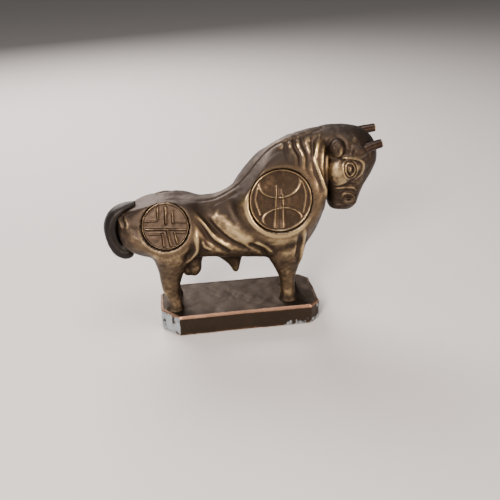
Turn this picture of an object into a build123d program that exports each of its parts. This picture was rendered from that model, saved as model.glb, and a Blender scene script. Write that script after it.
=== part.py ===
"""Souvenir bull figurine on a plinth, in millimetres.

The bull faces +X and stands on a chamfered plinth. +Z is up, and the origin is the centre of the
plinth's underside. The right flank is on the -Y side and the left flank on the +Y side.
"""

import os
from math import cos, radians, sin, sqrt

from build123d import *

# Stance: the right hooves set the plinth's length, and the heights stack up from its underside.
# The left forefoot stands a little ahead of the right one.
HOOF_SPREAD = 28.5
LEFT_FOREHOOF_AHEAD = 1.2
REAR_MARGIN = 3.9
FRONT_MARGIN = 7.6
HOOF_TRACK = 7.0
LEG_HEIGHT = 11.0
BODY_RISE = 32.6
BODY_HALF_WIDTH = 8.0

# Plinth: a cast block with four chamfered corners, larger at the tail end, and a narrow bevel
# round its top face.
PLINTH_WIDTH = 16.0
PLINTH_HEIGHT = 5.7
PLINTH_REAR_CHAMFER = 4.2
PLINTH_FRONT_CHAMFER = 2.4
PLINTH_BEVEL = 0.4

# Hooves: small, and barely wider than the fetlocks above them.
HOOF_LENGTH = 3.7
HOOF_WIDTH = 3.3

# Fixings and fits.
SOLDER_GAP = 0.05
FOOT_PIN_DIAMETER = 1.5
FOOT_PIN_LENGTH = 5.4
NECK_DOWEL_DIAMETER = 2.4
NECK_DOWEL_LENGTH = 9.0

# Horns: tapered pegs with square-cut tips, each on a thinner spigot that enters the head.
HORN_BASE_DIAMETER = 2.6
HORN_TIP_DIAMETER = 1.9
RIGHT_HORN_LENGTH = 6.4
LEFT_HORN_LENGTH = 8.2
HORN_SPIGOT_DIAMETER = 1.6
HORN_SPIGOT_LENGTH = 2.6
HORN_RISE_DEG = 16.0
HORN_TURN_IN_DEG = 4.0
HORN_BASE_AHEAD = 5.6
HORN_BASE_SPACING = 10.8
HORN_SOCKET_WALL = 0.75
HORN_BOSS_REACH = 3.2

# Tail: an oval band that hugs the rump and ends in a tuft.
TAIL_THICKNESS = 3.4
TAIL_WIDTH = 5.0
TUFT_DIAMETER = 5.8

# Medallions: discs let into round seats on the shoulders and hips, two alike on each side. Each
# seat leans back from upright, and the hip seats turn a little towards the tail.
SHOULDER_MEDALLION_DIAMETER = 14.8
HIP_MEDALLION_DIAMETER = 11.0
MEDALLION_THICKNESS = 1.2
MEDALLION_SEAT_DEPTH = 0.9
MEDALLION_BOSS_DEPTH = 4.5
MEDALLION_LIP_WIDTH = 1.0
MEDALLION_RIM_WIDTH = 0.7
RELIEF_HEIGHT = 0.35
SHOULDER_SEAT_LEAN_DEG = 11.0
HIP_SEAT_LEAN_DEG = 20.0
HIP_SEAT_TURN_DEG = 8.0
CROSS_BAR_WIDTH = 0.5

# Worked out from the above.
PLINTH_LENGTH = REAR_MARGIN + HOOF_SPREAD + FRONT_MARGIN
HIND_HOOF_X = REAR_MARGIN - PLINTH_LENGTH / 2
FRONT_HOOF_X = HIND_HOOF_X + HOOF_SPREAD
BELLY_Z = PLINTH_HEIGHT + LEG_HEIGHT

# The torso and neck, tail end first. Each row is one cross-section: its place as a share of the
# hoof spread in front of the hind hoof, the heights of its underside and back above the belly
# line as shares of BODY_RISE, its half width as a share of BODY_HALF_WIDTH, and how much of that
# width is left near the top.
TORSO = [
    (-0.432, 0.2, 0.44, 0.45, 0.72),
    (-0.349, 0.12, 0.51, 0.66, 0.74),
    (-0.173, 0.08, 0.57, 0.84, 0.75),
    (0.034, 0.04, 0.59, 0.9, 0.74),
    (0.251, 0.03, 0.55, 0.82, 0.7),
    (0.427, 0.02, 0.56, 0.8, 0.66),
    (0.603, 0.0, 0.66, 0.86, 0.63),
    (0.779, 0.0, 0.85, 0.94, 0.62),
    (0.955, 0.01, 0.935, 0.98, 0.64),
    (1.131, 0.04, 0.98, 0.92, 0.66),
    (1.235, 0.2, 0.995, 0.84, 0.7),
    (1.302, 0.32, 1.0, 0.79, 0.74),
]
NECK_JOINT_X = HIND_HOOF_X + TORSO[-1][0] * HOOF_SPREAD

# The head, muzzle first. Each row is one level section: its height above the belly line as a
# share of BODY_RISE, how far its back and front lie ahead of the neck joint, and its half width.
HEAD = [
    (0.355, 3.6, 7.8, 1.8),
    (0.39, 1.8, 8.7, 2.7),
    (0.49, -0.6, 9.6, 3.4),
    (0.61, -3.0, 11.2, 4.6),
    (0.75, -5.0, 12.5, 5.9),
    (0.875, -5.0, 11.7, 6.1),
    (0.955, -4.0, 9.4, 4.6),
    (0.99, -3.0, 6.8, 2.5),
]

# The legs, sole first: height above the plinth as a share of LEG_HEIGHT, centre ahead of the
# hoof's centre, half length and half width. The last rows run up inside the torso.
FRONT_LEG = [
    (0.0, 0.0, HOOF_LENGTH / 2, HOOF_WIDTH / 2),
    (0.2, -0.3, 1.55, 1.35),
    (0.5, -0.3, 1.9, 1.6),
    (0.8, -0.6, 2.6, 2.0),
    (1.15, -1.2, 4.0, 2.7),
    (1.6, -1.4, 4.8, 2.5),
]
HIND_LEG = [
    (0.0, 0.0, HOOF_LENGTH / 2, HOOF_WIDTH / 2),
    (0.15, -0.2, 1.55, 1.35),
    (0.38, -0.4, 1.9, 1.45),
    (0.62, -0.4, 2.3, 1.7),
    (1.0, -0.1, 2.9, 2.3),
    (1.5, 0.6, 4.6, 2.4),
]

# The four legs: which rows each follows, the x of its hoof, and its side, -1 right and +1 left.
LEGS = [
    (HIND_LEG, HIND_HOOF_X, -1),
    (HIND_LEG, HIND_HOOF_X, 1),
    (FRONT_LEG, FRONT_HOOF_X, -1),
    (FRONT_LEG, FRONT_HOOF_X + LEFT_FOREHOOF_AHEAD, 1),
]
HOOF_PLACES = [(hoof_x, side * HOOF_TRACK / 2) for _, hoof_x, side in LEGS]


def torso_section(low, high, half_width, fullness):
    """A pear-shaped closed outline, widest a little below half way up."""
    rise = high - low
    right = [
        (0.62 * half_width, low + 0.07 * rise),
        (half_width, low + 0.38 * rise),
        (fullness * half_width, low + 0.77 * rise),
    ]
    left = [(-y, z) for y, z in reversed(right)]
    Spline((0, low), *right, (0, high), *left, periodic=True)


def leg(rows, hoof_x, side):
    """One leg as a loft of ellipses from the sole up into the torso."""
    with BuildPart() as limb:
        for share, ahead, half_length, half_width in rows:
            with BuildSketch(Plane.XY.offset(PLINTH_HEIGHT + share * LEG_HEIGHT)):
                with Locations((hoof_x + ahead, side * HOOF_TRACK / 2)):
                    Ellipse(half_length, half_width)
        loft()
    return limb.part


def lobe(centre, direction, reach, radius):
    """An egg-shaped lump: a loft of circles along direction, small at both ends."""
    middle = Plane(origin=centre, z_dir=direction)
    with BuildPart() as lump:
        for share in (-0.96, -0.6, 0, 0.6, 0.96):
            with BuildSketch(middle.offset(share * reach)):
                Circle(radius * sqrt(1 - share**2))
        loft()
    return lump.part


def shoulder_plane(side):
    """The seat of a shoulder medallion: its origin on the flank, its normal facing outwards."""
    lean = radians(SHOULDER_SEAT_LEAN_DEG)
    return Plane(
        origin=(HIND_HOOF_X + 0.893 * HOOF_SPREAD, side * 0.88 * BODY_HALF_WIDTH,
                BELLY_Z + 0.53 * BODY_RISE),
        x_dir=(-side, 0, 0),
        z_dir=(0, side * cos(lean), sin(lean)),
    )


def hip_plane(side):
    """The seat of a hip medallion, which leans back and turns a little towards the tail."""
    lean, turn = radians(HIP_SEAT_LEAN_DEG), radians(HIP_SEAT_TURN_DEG)
    return Plane(
        origin=(HIND_HOOF_X - 0.039 * HOOF_SPREAD, side * 0.72 * BODY_HALF_WIDTH,
                BELLY_Z + 0.39 * BODY_RISE),
        x_dir=(-side * cos(turn), sin(turn), 0),
        z_dir=(-sin(turn) * cos(lean), side * cos(turn) * cos(lean), sin(lean)),
    )


def horn_plane(side):
    """A horn's base: its origin on the side of the head, its normal along the horn."""
    rise, turn_in = radians(HORN_RISE_DEG), radians(HORN_TURN_IN_DEG)
    return Plane(
        origin=(NECK_JOINT_X + HORN_BASE_AHEAD, side * HORN_BASE_SPACING / 2,
                BELLY_Z + 0.832 * BODY_RISE),
        z_dir=(cos(rise) * cos(turn_in), -side * cos(rise) * sin(turn_in), sin(rise)),
    )


def horn(side, clearance=0.0):
    """One horn: a taper outside the head and a spigot inside it, grown by clearance for a socket."""
    base = horn_plane(side)
    length = RIGHT_HORN_LENGTH if side < 0 else LEFT_HORN_LENGTH
    with BuildPart() as peg:
        with BuildSketch(base):
            Circle(HORN_BASE_DIAMETER / 2 + clearance)
        with BuildSketch(base.offset(length)):
            Circle(HORN_TIP_DIAMETER / 2 + clearance)
        loft()
        with BuildSketch(base):
            Circle(HORN_SPIGOT_DIAMETER / 2 + clearance)
        extrude(amount=-HORN_SPIGOT_LENGTH)
    return peg


def tail(clearance=0.0):
    """The tail, an arc over the rump from the croup to a tuft, grown by clearance for its seat."""
    root = (HIND_HOOF_X - 0.298 * HOOF_SPREAD, 0, BELLY_Z + 0.50 * BODY_RISE)
    back = (HIND_HOOF_X - 0.478 * HOOF_SPREAD, 0, BELLY_Z + 0.335 * BODY_RISE)
    end = (HIND_HOOF_X - 0.411 * HOOF_SPREAD, 0, BELLY_Z + 0.15 * BODY_RISE)
    with BuildPart() as band:
        with BuildLine() as path:
            ThreePointArc(root, back, end)
        with BuildSketch(Plane(origin=root, x_dir=(0, 1, 0), z_dir=path.line % 0)):
            Ellipse(TAIL_WIDTH / 2 + clearance, TAIL_THICKNESS / 2 + clearance)
        sweep()
        with Locations(end):
            Sphere(TUFT_DIAMETER / 2 + clearance)
    return band


def disc(seat, diameter):
    """A medallion's plain blank with its raised rim, on its seat plane."""
    floor = seat.offset(-MEDALLION_SEAT_DEPTH)
    field = floor.offset(MEDALLION_THICKNESS)
    radius = diameter / 2 - SOLDER_GAP
    with BuildPart() as blank:
        with BuildSketch(floor):
            Circle(radius)
        extrude(amount=MEDALLION_THICKNESS)
        with BuildSketch(field):
            Circle(radius)
            Circle(radius - MEDALLION_RIM_WIDTH, mode=Mode.SUBTRACT)
        extrude(amount=RELIEF_HEIGHT)
    return blank.part


def shoulder_medallion(seat):
    """A double-headed axe in low relief: two flared blades on an upright shaft."""
    field = seat.offset(MEDALLION_THICKNESS - MEDALLION_SEAT_DEPTH)
    radius = SHOULDER_MEDALLION_DIAMETER / 2
    with BuildPart() as medal:
        add(disc(seat, SHOULDER_MEDALLION_DIAMETER))
        with BuildSketch(field):
            Ellipse(0.78 * radius, 0.70 * radius)
            with Locations((0, 0.66 * radius)):
                Ellipse(0.68 * radius, 0.50 * radius, mode=Mode.SUBTRACT)
            with Locations((0, -0.66 * radius)):
                Ellipse(0.66 * radius, 0.44 * radius, mode=Mode.SUBTRACT)
            Rectangle(0.22 * radius, 1.6 * radius)
        extrude(amount=RELIEF_HEIGHT)
    return medal


def hip_medallion(seat):
    """A cross of thin bars with a square corner bar in each quarter, in low relief."""
    field = seat.offset(MEDALLION_THICKNESS - MEDALLION_SEAT_DEPTH)
    radius = HIP_MEDALLION_DIAMETER / 2
    inner, outer = 0.30 * radius, 0.72 * radius
    with BuildPart() as medal:
        add(disc(seat, HIP_MEDALLION_DIAMETER))
        with BuildSketch(field):
            Rectangle(CROSS_BAR_WIDTH, 1.6 * radius)
            Rectangle(1.6 * radius, CROSS_BAR_WIDTH)
            for right in (-1, 1):
                for up in (-1, 1):
                    middle = (inner + outer) / 2
                    with Locations((right * inner, up * middle)):
                        Rectangle(CROSS_BAR_WIDTH, outer - inner)
                    with Locations((right * middle, up * inner)):
                        Rectangle(outer - inner, CROSS_BAR_WIDTH)
        extrude(amount=RELIEF_HEIGHT)
    return medal


def finish(piece, name):
    """Labels one finished piece, writes its STEP file and prints what is in it."""
    piece.part.label = name
    export_step(piece.part, f"parts/{name}.step")
    solids = piece.solids()
    print(f"{name}: {len(solids)} solid(s), {sum(s.volume for s in solids):.1f} mm3, "
          f"valid {all(s.is_valid for s in solids)}")


os.makedirs("parts", exist_ok=True)

# Body: the torso and neck with four legs, one casting.
with BuildPart() as body:
    for along, low, high, width, fullness in TORSO:
        with BuildSketch(Plane.YZ.offset(HIND_HOOF_X + along * HOOF_SPREAD)):
            with BuildLine():
                torso_section(BELLY_Z + low * BODY_RISE, BELLY_Z + high * BODY_RISE,
                              width * BODY_HALF_WIDTH, fullness)
            make_face()
    loft()
    for rows, hoof_x, side in LEGS:
        add(leg(rows, hoof_x, side))
    add(lobe((HIND_HOOF_X + 0.168 * HOOF_SPREAD, 0, BELLY_Z - 0.04 * BODY_RISE), (0.15, 0, 1),
             3.6, 2.3))
    with BuildSketch(Plane.XY.offset(BELLY_Z + 2.0)):
        with Locations((HIND_HOOF_X + 0.520 * HOOF_SPREAD, 0)):
            Ellipse(3.2, 2.2)
    with BuildSketch(Plane.XY.offset(BELLY_Z - 1.2)):
        with Locations((HIND_HOOF_X + 0.531 * HOOF_SPREAD, 0)):
            Ellipse(1.7, 1.2)
    with BuildSketch(Plane.XY.offset(BELLY_Z - 4.0)):
        with Locations((HIND_HOOF_X + 0.547 * HOOF_SPREAD, 0)):
            Ellipse(0.6, 0.5)
    loft()
    add(tail(SOLDER_GAP).part, mode=Mode.SUBTRACT)
    for side in (-1, 1):
        for seat, diameter in ((shoulder_plane(side), SHOULDER_MEDALLION_DIAMETER),
                               (hip_plane(side), HIP_MEDALLION_DIAMETER)):
            with BuildSketch(seat.offset(-MEDALLION_BOSS_DEPTH)):
                Circle(diameter / 2 + MEDALLION_LIP_WIDTH)
            extrude(amount=MEDALLION_BOSS_DEPTH)
            with BuildSketch(seat.offset(-MEDALLION_SEAT_DEPTH)):
                Circle(diameter / 2)
            extrude(amount=BODY_HALF_WIDTH, mode=Mode.SUBTRACT)
    with BuildSketch(Plane.YZ.offset(NECK_JOINT_X)):
        with Locations((0, BELLY_Z + 0.70 * BODY_RISE)):
            Circle(NECK_DOWEL_DIAMETER / 2 + SOLDER_GAP)
    extrude(amount=-NECK_DOWEL_LENGTH / 2, mode=Mode.SUBTRACT)
    with BuildSketch(Plane.XY.offset(PLINTH_HEIGHT)):
        with Locations(*HOOF_PLACES):
            Circle(FOOT_PIN_DIAMETER / 2 + SOLDER_GAP)
    extrude(amount=FOOT_PIN_LENGTH / 2, mode=Mode.SUBTRACT)

# Head: a tapering loft with a flat back that meets the neck, two ears and the horn sockets.
with BuildPart() as head:
    for share, back, front, half_width in HEAD:
        with BuildSketch(Plane.XY.offset(BELLY_Z + share * BODY_RISE)):
            with Locations((NECK_JOINT_X + (back + front) / 2, 0)):
                Ellipse((front - back) / 2, half_width)
    loft()
    for side in (-1, 1):
        add(lobe((NECK_JOINT_X + 2.2, side * 5.4, BELLY_Z + 0.87 * BODY_RISE),
                 (0.15, side * 0.1, -1), 2.9, 1.7))
        boss = horn_plane(side).offset(-HORN_SPIGOT_LENGTH / 2)
        add(lobe(boss.origin, boss.z_dir, HORN_BOSS_REACH,
                 HORN_BASE_DIAMETER / 2 + HORN_SOCKET_WALL))
    split(bisect_by=Plane.YZ.offset(NECK_JOINT_X), keep=Keep.TOP)
    for side in (-1, 1):
        add(horn(side, SOLDER_GAP).part, mode=Mode.SUBTRACT)
    with BuildSketch(Plane.YZ.offset(NECK_JOINT_X)):
        with Locations((0, BELLY_Z + 0.70 * BODY_RISE)):
            Circle(NECK_DOWEL_DIAMETER / 2 + SOLDER_GAP)
    extrude(amount=NECK_DOWEL_LENGTH / 2, mode=Mode.SUBTRACT)

# Plinth: the block, its corner chamfers, its top bevel and the four pin holes.
with BuildPart() as plinth:
    with BuildSketch():
        Rectangle(PLINTH_LENGTH, PLINTH_WIDTH)
    extrude(amount=PLINTH_HEIGHT)
    rear_corners, front_corners = plinth.edges().filter_by(Axis.Z).group_by(Axis.X)
    chamfer(rear_corners, PLINTH_REAR_CHAMFER)
    chamfer(front_corners, PLINTH_FRONT_CHAMFER)
    chamfer(plinth.faces().sort_by(Axis.Z)[-1].edges(), PLINTH_BEVEL)
    with BuildSketch(Plane.XY.offset(PLINTH_HEIGHT)):
        with Locations(*HOOF_PLACES):
            Circle(FOOT_PIN_DIAMETER / 2 + SOLDER_GAP)
    extrude(amount=-FOOT_PIN_LENGTH / 2, mode=Mode.SUBTRACT)

# Pins: four in the hooves, and one dowel between neck and head.
with BuildPart() as foot_pins:
    with BuildSketch(Plane.XY.offset(PLINTH_HEIGHT - FOOT_PIN_LENGTH / 2)):
        with Locations(*HOOF_PLACES):
            Circle(FOOT_PIN_DIAMETER / 2)
    extrude(amount=FOOT_PIN_LENGTH)
with BuildPart() as neck_dowel:
    with BuildSketch(Plane.YZ.offset(NECK_JOINT_X - NECK_DOWEL_LENGTH / 2)):
        with Locations((0, BELLY_Z + 0.70 * BODY_RISE)):
            Circle(NECK_DOWEL_DIAMETER / 2)
    extrude(amount=NECK_DOWEL_LENGTH)

finish(plinth, "plinth")
finish(body, "body")
finish(head, "head")
finish(tail(), "tail")
finish(foot_pins, "foot_pins")
finish(neck_dowel, "neck_dowel")
for side, flank in ((-1, "right"), (1, "left")):
    finish(horn(side), f"horn_{flank}")
    finish(shoulder_medallion(shoulder_plane(side)), f"shoulder_medallion_{flank}")
    finish(hip_medallion(hip_plane(side)), f"hip_medallion_{flank}")
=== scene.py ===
"""Souvenir bull figurine: the finish of every piece, in metres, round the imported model.

The bull faces +X on its plinth, +Z is up, and the origin is the centre of the plinth's underside.
Shapes are worked out in millimetres and written to their meshes in metres.
"""

from math import cos, pi, radians, sin

import bpy
import numpy as np
from mathutils import Matrix, Vector


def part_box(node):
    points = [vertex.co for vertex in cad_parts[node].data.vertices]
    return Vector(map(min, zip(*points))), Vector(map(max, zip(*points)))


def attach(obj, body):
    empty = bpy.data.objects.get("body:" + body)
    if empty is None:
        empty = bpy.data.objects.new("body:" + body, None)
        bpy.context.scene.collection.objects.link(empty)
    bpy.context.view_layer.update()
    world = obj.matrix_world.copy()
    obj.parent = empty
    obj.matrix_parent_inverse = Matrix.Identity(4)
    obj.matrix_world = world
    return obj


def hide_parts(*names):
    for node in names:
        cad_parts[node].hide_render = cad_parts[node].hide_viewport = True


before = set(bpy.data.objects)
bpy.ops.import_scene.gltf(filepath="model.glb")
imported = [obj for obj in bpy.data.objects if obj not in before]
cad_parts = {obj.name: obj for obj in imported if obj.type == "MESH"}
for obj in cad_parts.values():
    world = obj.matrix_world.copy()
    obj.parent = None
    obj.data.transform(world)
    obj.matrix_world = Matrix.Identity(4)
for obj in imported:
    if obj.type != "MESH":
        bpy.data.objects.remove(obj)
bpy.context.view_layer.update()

MM = 0.001

# ---------------------------------------------------------------- Camera, floor and light
# The camera stands close to the right flank, a little towards the tail, and looks down on it with
# the frame tipped slightly. The floor and the lights are a plain pale studio.
CAMERA_TARGET_MM = (3.1, 0.0, 18.3)
CAMERA_DISTANCE_MM = 149.0
CAMERA_AZIMUTH = radians(-8.5)
CAMERA_ELEVATION = radians(28.0)
CAMERA_ROLL = radians(-0.7)
CAMERA_LENS_MM = 43.2

back = Vector((sin(CAMERA_AZIMUTH) * cos(CAMERA_ELEVATION),
               -cos(CAMERA_AZIMUTH) * cos(CAMERA_ELEVATION), sin(CAMERA_ELEVATION)))
right = Vector((cos(CAMERA_AZIMUTH), sin(CAMERA_AZIMUTH), 0))
up = back.cross(right)
rolled_right = right * cos(CAMERA_ROLL) + up * sin(CAMERA_ROLL)
rolled_up = up * cos(CAMERA_ROLL) - right * sin(CAMERA_ROLL)
camera_data = bpy.data.cameras.new("camera")
camera_data.lens = CAMERA_LENS_MM
camera_data.sensor_width = 36.0
camera_data.clip_start = 0.005
camera_data.clip_end = 20.0
camera = bpy.data.objects.new("camera", camera_data)
bpy.context.collection.objects.link(camera)
camera_turn = Matrix((rolled_right, rolled_up, back)).transposed().to_4x4()
camera_place = (Vector(CAMERA_TARGET_MM) + back * CAMERA_DISTANCE_MM) * MM
camera.matrix_world = Matrix.Translation(camera_place) @ camera_turn
bpy.context.scene.camera = camera


def linear(hex_colour):
    """An sRGB hex colour as linear red, green, blue and alpha."""
    values = np.array([int(hex_colour[i:i + 2], 16) for i in (1, 3, 5)]) / 255
    low, high = values / 12.92, ((values + 0.055) / 1.055) ** 2.4
    return (*np.where(values <= 0.04045, low, high).tolist(), 1.0)


def add_node(tree, kind, links=None, **settings):
    """Adds one shader node. Settings that name an input set its value, others set the node;
    links maps an input's name or number to the output that feeds it."""
    made = tree.nodes.new(kind)
    for name, value in settings.items():
        if hasattr(made, name):
            setattr(made, name, value)
    for name, value in settings.items():
        if not hasattr(made, name):
            made.inputs[name.replace("_", " ")].default_value = value
    for name, output in (links or {}).items():
        tree.links.new(output, made.inputs[name])
    return made


FLOOR_COLOUR = "#b4b0af"
FLOOR_ROUGHNESS = 0.75
FLOOR_HALF_M = 1.5
SKY_COLOUR = "#e9e6e4"
SKY_STRENGTH = 0.21
floor_mesh = bpy.data.meshes.new("floor")
floor_mesh.from_pydata([(-FLOOR_HALF_M, -FLOOR_HALF_M, 0), (FLOOR_HALF_M, -FLOOR_HALF_M, 0),
                        (FLOOR_HALF_M, FLOOR_HALF_M, 0), (-FLOOR_HALF_M, FLOOR_HALF_M, 0)],
                       [], [(0, 1, 2, 3)])
floor = bpy.data.objects.new("floor", floor_mesh)
bpy.context.collection.objects.link(floor)
# Pale paint, matt enough to take a soft shadow and show no reflection of the bull.
floor_paint = bpy.data.materials.new("matt_table_paint")
floor_paint.use_nodes = True
floor_shader = floor_paint.node_tree.nodes["Principled BSDF"]
floor_shader.inputs["Base Color"].default_value = linear(FLOOR_COLOUR)
floor_shader.inputs["Roughness"].default_value = FLOOR_ROUGHNESS
floor_mesh.materials.append(floor_paint)

world = bpy.data.worlds.new("studio")
world.use_nodes = True
world.node_tree.nodes["Background"].inputs["Color"].default_value = linear(SKY_COLOUR)
world.node_tree.nodes["Background"].inputs["Strength"].default_value = SKY_STRENGTH
bpy.context.scene.world = world

# Each light: place and aim in millimetres, width and height in millimetres, watts and colour.
LIGHTS = [
    ("window_light", (-120, 260, 240), (0, 0, 20), 260, 180, 3.0, "#fff8f4"),
    ("front_light", (-150, -260, 190), (0, 0, 25), 100, 80, 2.3, "#fff4e6"),
    ("low_light", (200, -220, 70), (5, 0, 25), 90, 60, 0.7, "#ffe9d0"),
    ("top_light", (60, -60, 330), (0, 0, 20), 160, 160, 0.7, "#ffffff"),
]
for name, at, aim, width, height, watts, colour in LIGHTS:
    light_data = bpy.data.lights.new(name, "AREA")
    light_data.shape = "RECTANGLE"
    light_data.size = width * MM
    light_data.size_y = height * MM
    light_data.energy = watts
    light_data.color = linear(colour)[:3]
    light = bpy.data.objects.new(name, light_data)
    bpy.context.collection.objects.link(light)
    light.location = Vector(at) * MM
    light.rotation_euler = (Vector(at) - Vector(aim)).to_track_quat("Z", "Y").to_euler()

# ---------------------------------------------------------------- Body
# The torso, hump, legs, sheath and scrotum are one zinc casting, plated in brass and toned dark.
# Its plain masses are lofts joined into one skin, and the modelled relief is then raised on it.


def smooth_rows(rows, count):
    """A Catmull-Rom curve through the rows of a table, at count even steps of its parameter."""
    rows = np.asarray(rows, float)
    ends = np.vstack([2 * rows[0] - rows[1], rows, 2 * rows[-1] - rows[-2]])
    step = np.linspace(0, len(rows) - 1, count)
    first = np.minimum(step.astype(int), len(rows) - 2)
    t = (step - first)[:, None]
    a, b, c, d = (ends[first + i] for i in range(4))
    return 0.5 * (2 * b + (c - a) * t + (2 * a - 5 * b + 4 * c - d) * t**2
                  + (3 * b - a - 3 * c + d) * t**3)


def tube_faces(rings, around):
    """Quads of a closed tube of rings, then a fan to a point at each end, facing outwards when
    the rings turn anticlockwise seen from the last ring's side."""
    ring, step = np.meshgrid(np.arange(rings - 1), np.arange(around), indexing="ij")
    ahead = (step + 1) % around
    quads = np.stack([ring * around + step, ring * around + ahead,
                      (ring + 1) * around + ahead, (ring + 1) * around + step], -1)
    faces = quads.reshape(-1, 4).tolist()
    first, last = rings * around, rings * around + 1
    start = (rings - 1) * around
    for i in range(around):
        j = (i + 1) % around
        faces.append([first, j, i])
        faces.append([last, start + i, start + j])
    return faces


def closed_tube(rings):
    """Points and faces of a tube from an array of rings, with both ends closed to a point."""
    count, around, _ = rings.shape
    points = np.vstack([rings.reshape(-1, 3), rings[0].mean(0), rings[-1].mean(0)])
    return points, tube_faces(count, around)


def torso_shell(rows, count=120, around=96):
    """Sections across X: each row is x, underside, back, half width and pinch. A section is a
    fuller oval whose half width shrinks towards the top by its pinch:
    y = w * sign(cos a) * |cos a|**0.86 * (1 - pinch * sin a), z = middle + half rise * sin a."""
    x, low, high, width, pinch = smooth_rows(rows, count).T[:, :, None]
    angle = np.linspace(0, 2 * pi, around, endpoint=False)[None]
    side = np.sign(np.cos(angle)) * np.abs(np.cos(angle)) ** 0.86
    y = width * side * (1 - pinch * np.sin(angle))
    z = (low + high) / 2 + (high - low) / 2 * np.sin(angle)
    return closed_tube(np.stack([x + 0 * y, y, z], -1))


def upright_shell(rows, side=1, count=60, around=64):
    """Level ovals stacked up Z: each row is height, centre x, centre y, half length, half width."""
    z, x, y, length, width = smooth_rows(rows, count).T[:, :, None]
    angle = np.linspace(0, 2 * pi, around, endpoint=False)[None]
    return closed_tube(np.stack([x + length * np.cos(angle),
                                 side * y + width * np.sin(angle), z + 0 * angle], -1))


def egg(centre, radii, count=24, around=32):
    """An ellipsoid as a stack of level rings."""
    polar = np.linspace(-pi / 2 + 0.08, pi / 2 - 0.08, count)[:, None]
    angle = np.linspace(0, 2 * pi, around, endpoint=False)[None]
    unit = np.stack([np.cos(polar) * np.cos(angle), np.cos(polar) * np.sin(angle),
                     np.sin(polar) + 0 * angle], -1)
    return closed_tube(np.asarray(centre, float) + unit * np.asarray(radii, float))


def merged_skin(shells, voxel):
    """One skin round several overlapping closed shells, as points and quads, by a voxel remesh."""
    points, faces, offset = [], [], 0
    for shell_points, shell_faces in shells:
        points.append(shell_points)
        faces += [[i + offset for i in face] for face in shell_faces]
        offset += len(shell_points)
    mesh = bpy.data.meshes.new("shells")
    mesh.from_pydata(np.vstack(points).tolist(), [], faces)
    holder = bpy.data.objects.new("shells", mesh)
    bpy.context.collection.objects.link(holder)
    remesh = holder.modifiers.new("skin", "REMESH")
    remesh.mode = "VOXEL"
    remesh.voxel_size = voxel
    depsgraph = bpy.context.evaluated_depsgraph_get()
    skin = bpy.data.meshes.new_from_object(holder.evaluated_get(depsgraph))
    found = np.empty(len(skin.vertices) * 3)
    skin.vertices.foreach_get("co", found)
    corners = np.empty(len(skin.loops), int)
    skin.loops.foreach_get("vertex_index", corners)
    bpy.data.objects.remove(holder)
    bpy.data.meshes.remove(mesh)
    bpy.data.meshes.remove(skin)
    return found.reshape(-1, 3), corners.reshape(-1, 4)


def quad_edges(quads):
    """Each edge of a quad mesh once, as two columns of point numbers."""
    pairs = np.vstack([quads[:, [i, (i + 1) % 4]] for i in range(4)])
    return np.unique(np.sort(pairs, 1), axis=0)


def relax(values, edges, rounds, share=0.5):
    """Moves each point's values part of the way to the mean of its neighbours, over and over."""
    values = values.copy()
    ends = np.concatenate([edges[:, 0], edges[:, 1]])
    others = np.concatenate([edges[:, 1], edges[:, 0]])
    count = np.bincount(ends, minlength=len(values)).clip(1)
    columns = values if values.ndim == 2 else values[:, None]
    for _ in range(rounds):
        mean = np.stack([np.bincount(ends, column[others], len(values)) / count
                         for column in columns.T], 1)
        columns += share * (mean - columns)
    return columns if values.ndim == 2 else columns[:, 0]


def point_normals(points, quads):
    """Unit normals: the cross products of each quad's diagonals, added up at its corners."""
    a, b, c, d = (points[quads[:, i]] for i in range(4))
    cross = np.cross(c - a, d - b)
    total = np.stack([np.bincount(quads.ravel(), np.repeat(column, 4), len(points))
                      for column in cross.T], 1)
    return total / np.linalg.norm(total, axis=1, keepdims=True).clip(1e-12)


def step_up(value, low, high):
    """0 below low and 1 above high, with a smooth rise between."""
    t = ((value - low) / (high - low)).clip(0, 1)
    return t * t * (3 - 2 * t)


def lump_noise(points, size, seed):
    """Smooth value noise from -1 to 1: a random number at each corner of a lattice of the given
    size, blended between corners."""
    place = points / size + seed * 17.31
    cell = np.floor(place)
    t = place - cell
    t = t * t * (3 - 2 * t)
    total = np.zeros(len(points))
    for corner in np.ndindex(2, 2, 2):
        at = cell + corner
        value = np.sin(at @ np.array([127.1, 311.7, 74.7]) + seed) * 43758.5453
        weight = np.prod(np.where(np.array(corner) == 1, t, 1 - t), axis=1)
        total += weight * (2 * (value - np.floor(value)) - 1)
    return total


def line_gap(across, line, samples=24):
    """Distance from points of a flat view to a smooth curve through a few points, and how far
    along the curve the nearest place is, from 0 to 1."""
    curve = smooth_rows(line, samples)
    best = np.full(len(across), 1e9)
    along = np.zeros(len(across))
    for i in range(samples - 1):
        run = curve[i + 1] - curve[i]
        t = (((across - curve[i]) @ run) / (run @ run)).clip(0, 1)
        gap = np.linalg.norm(across - curve[i] - t[:, None] * run, axis=1)
        near = gap < best
        best[near] = gap[near]
        along[near] = (i + t[near]) / (samples - 1)
    return best, along


def ridge(across, line, width, height, fade=0.18):
    """A rounded ridge, or a groove where height is negative, that fades out at both ends."""
    gap, along = line_gap(across, line)
    ends = step_up(along, -0.001, fade) * (1 - step_up(along, 1 - fade, 1.001))
    return height * np.exp(-(gap / width) ** 2) * (0.25 + 0.75 * ends)


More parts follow.
